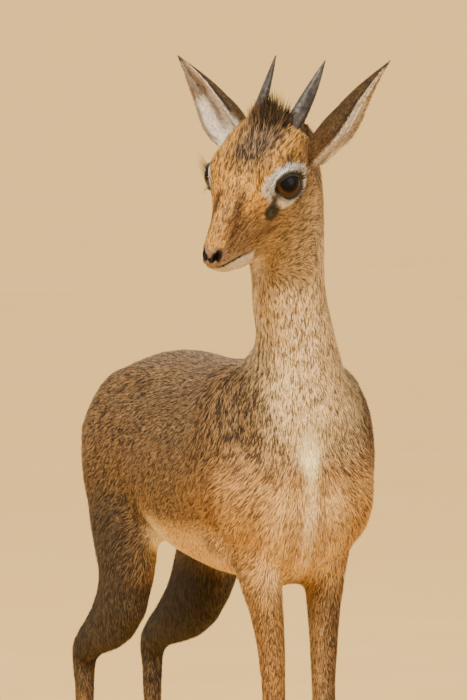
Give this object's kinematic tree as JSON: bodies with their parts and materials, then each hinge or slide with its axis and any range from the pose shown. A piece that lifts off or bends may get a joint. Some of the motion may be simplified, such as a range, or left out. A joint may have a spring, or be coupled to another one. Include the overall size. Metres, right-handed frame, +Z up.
{
  "type": "dik-dik figure",
  "caption": "Life-size still model of a standing horned dwarf antelope with its head turned aside, parted into head, neck, trunk, legs, hooves, ears, eyes, horns and tail.",
  "frame": {"origin": "middle of the overall box at floor level, under the trunk", "axes": "+Z up from the floor, the trunk faces -Y, the animal's left side is +X, its head turns to its right"},
  "size_m": [0.137, 0.4502, 0.5602],
  "materials": {
    "coat": "short dense fur, grizzled grey-brown and tawny",
    "eye": "wet dark brown eye",
    "horn": "dark ringed horn, satin",
    "hoof": "black hoof horn, satin"
  },
  "bodies": {
    "root": {"head": "coat", "neck": "coat", "torso": "coat", "tail": "coat", "foreleg_left": "coat", "foreleg_right": "coat", "hindleg_left": "coat", "hindleg_right": "coat", "ear_left": "coat", "ear_right": "coat", "eye_left": "eye", "eye_right": "eye", "horn_left": "horn", "horn_right": "horn", "hoof_fore_left": "hoof", "hoof_fore_right": "hoof", "hoof_hind_left": "hoof", "hoof_hind_right": "hoof"}
  },
  "joints": []
}
